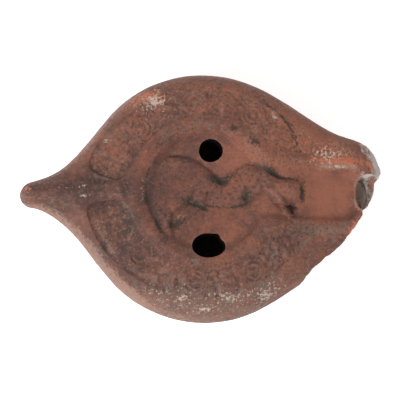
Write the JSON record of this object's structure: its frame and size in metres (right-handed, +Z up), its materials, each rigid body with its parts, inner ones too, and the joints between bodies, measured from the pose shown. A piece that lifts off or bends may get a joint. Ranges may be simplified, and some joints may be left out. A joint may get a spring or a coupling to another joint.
{
  "type": "oil lamp",
  "caption": "Mould-made red clay oil lamp with handle lug, sunk discus and open channel, filling holes, animal in relief, nozzle end broken.",
  "frame": {"origin": "centre of the flat base the lamp stands on", "axes": "+X towards the nozzle, the handle at -X, +Z up out of the discus, +Y to the left when looking along +X"},
  "size_m": [0.1204, 0.0836, 0.0324],
  "materials": {
    "fired_clay": "worn red slip on fired clay, semi-matte, dirt in the hollows"
  },
  "bodies": {
    "root": {"lamp_body": "fired_clay"}
  },
  "joints": []
}
